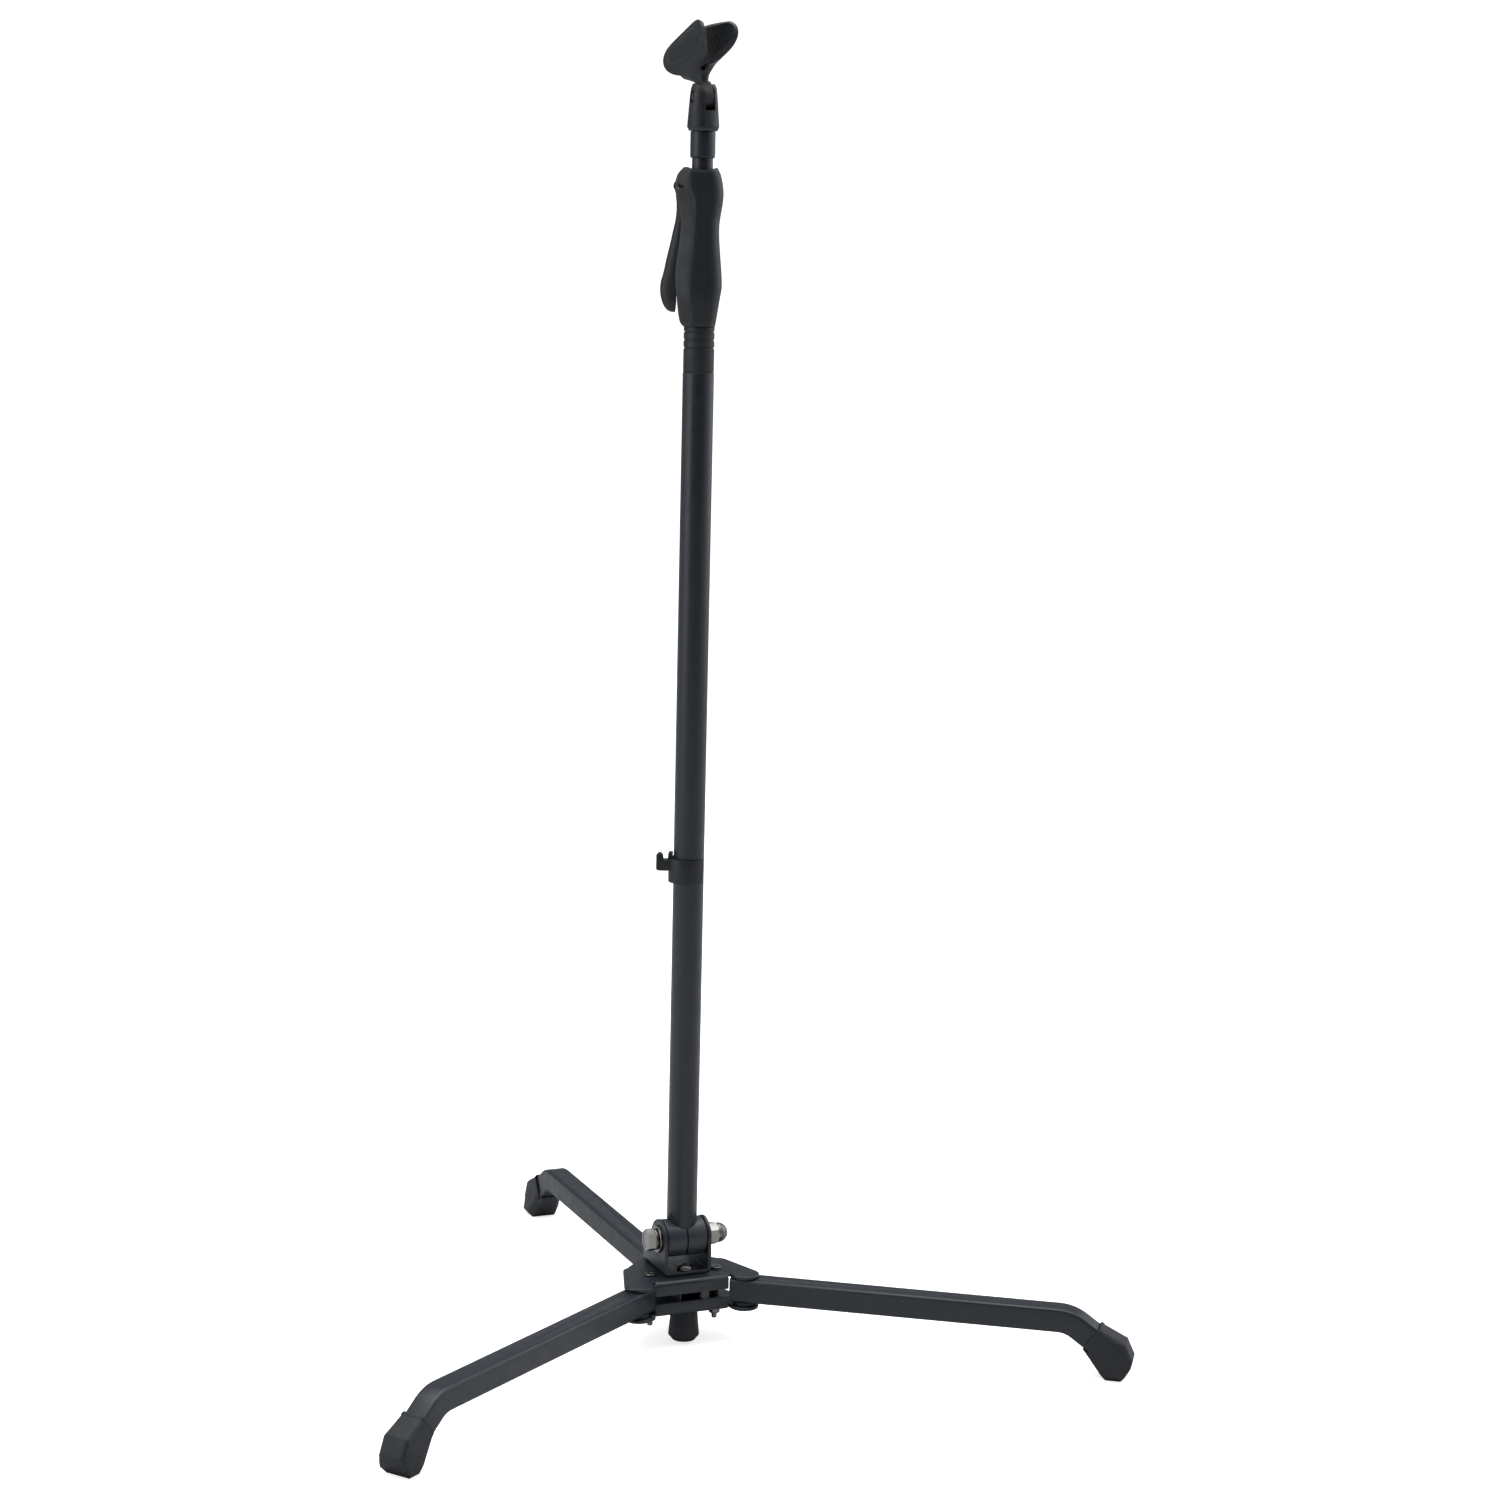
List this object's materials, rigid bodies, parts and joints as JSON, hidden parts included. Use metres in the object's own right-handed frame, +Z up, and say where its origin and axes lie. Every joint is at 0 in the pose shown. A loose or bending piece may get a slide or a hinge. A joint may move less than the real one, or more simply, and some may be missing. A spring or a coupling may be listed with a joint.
{
  "type": "microphone stand",
  "caption": "Folding-leg floor stand: tilting telescopic pole with a squeeze-lever clutch, a tipping microphone clip and a sliding cable clip.",
  "frame": {"origin": "on the floor under the pole's axis", "axes": "+Z up the pole, +Y along the back leg, +X along the tilt bolt towards its dome nut"},
  "size_m": [0.6382, 0.5889, 1.078],
  "materials": {
    "black_paint": "satin black powder coat on steel",
    "black_plastic": "fine matt moulding texture",
    "black_rubber": "soft matt",
    "bright_zinc": "bright zinc plate on steel",
    "spring_steel": "oiled steel",
    "brass": "turned"
  },
  "bodies": {
    "base": {"upper_hub_plate": "black_paint", "lower_hub_plate": "black_paint", "plate_spacer_left": "bright_zinc", "plate_spacer_right": "bright_zinc", "plate_rivet_left": "bright_zinc", "plate_rivet_right": "bright_zinc", "left_leg_pin": "black_paint", "right_leg_pin": "black_paint", "back_leg_pin": "black_paint", "left_leg_washer": "black_plastic", "right_leg_washer": "black_plastic", "back_leg_washer": "black_plastic", "hub_washer": "black_plastic", "back_leg": "black_paint", "back_foot": "black_rubber", "hub_bolt": "bright_zinc", "hub_nut": "bright_zinc", "centre_foot": "black_rubber", "tilt_bracket": "black_paint", "tilt_bolt": "bright_zinc", "tilt_washer_left": "bright_zinc", "tilt_washer_right": "bright_zinc", "tilt_spring_washer": "bright_zinc", "tilt_dome_nut": "bright_zinc"},
    "leg_left": {"left_leg": "black_paint", "left_foot": "black_rubber"},
    "leg_right": {"right_leg": "black_paint", "right_foot": "black_rubber"},
    "pole": {"pivot_block": "black_paint", "outer_tube": "black_paint", "tube_collar": "black_plastic", "grip_shell_front": "black_plastic", "grip_shell_rear": "black_plastic", "grip_screw_upper": "spring_steel", "grip_screw_lower": "spring_steel", "lever_pin": "spring_steel", "clutch_spring": "spring_steel"},
    "cable_hook": {"cable_clip": "black_plastic"},
    "lever": {"clutch_lever": "black_plastic"},
    "clutch": {"clutch_plate_lower": "spring_steel", "clutch_plate_upper": "spring_steel"},
    "riser": {"inner_tube": "black_paint", "guide_bush": "black_plastic", "tube_ferrule": "black_paint"},
    "swivel": {"clip_base": "black_plastic", "thread_insert": "brass", "clip_pivot_screw": "spring_steel", "clip_pivot_nut": "spring_steel"},
    "cradle": {"mic_clip": "black_plastic"}
  },
  "joints": [
    {"name": "left_leg_fold", "type": "hinge", "parent": "base", "child": "leg_left", "pos_m": [-0.047, -0.0254, 0.046], "axis": [0, 0, -1], "range_deg": [0, 125]},
    {"name": "right_leg_fold", "type": "hinge", "parent": "base", "child": "leg_right", "pos_m": [0.047, -0.0254, 0.046], "axis": [0, 0, 1], "range_deg": [0, 125]},
    {"name": "pole_tilt", "type": "hinge", "parent": "base", "child": "pole", "pos_m": [0, 0, 0.088], "axis": [-1, 0, 0], "range_deg": [0, 90]},
    {"name": "cable_clip_slide", "type": "slide", "parent": "pole", "child": "cable_hook", "axis": [0, 0, 1], "range_m": [-0.25, 0.37]},
    {"name": "lever_squeeze", "type": "hinge", "parent": "pole", "child": "lever", "pos_m": [-0.01623, 0.00656, 0.9486], "axis": [-0.3746, -0.9272, 0], "range_deg": [0, 5]},
    {"name": "clutch_release", "type": "hinge", "parent": "pole", "child": "clutch", "pos_m": [0.01094, -0.00442, 0.944], "axis": [-0.3746, -0.9272, 0], "range_deg": [-1.25, 0]},
    {"name": "height", "type": "slide", "parent": "pole", "child": "riser", "axis": [0, 0, 1], "range_m": [0, 0.6]},
    {"name": "clip_swivel", "type": "hinge", "parent": "riser", "child": "swivel", "pos_m": [0, 0, 0.9915], "axis": [0, 0, 1], "continuous": true},
    {"name": "clip_tip", "type": "hinge", "parent": "swivel", "child": "cradle", "pos_m": [0, 0, 1.0175], "axis": [-0.9877, -0.1564, 0], "range_deg": [-85, 65]}
  ],
  "couplings": [
    {"joint": "clutch_release", "follows": "lever_squeeze", "ratio": -0.25}
  ]
}
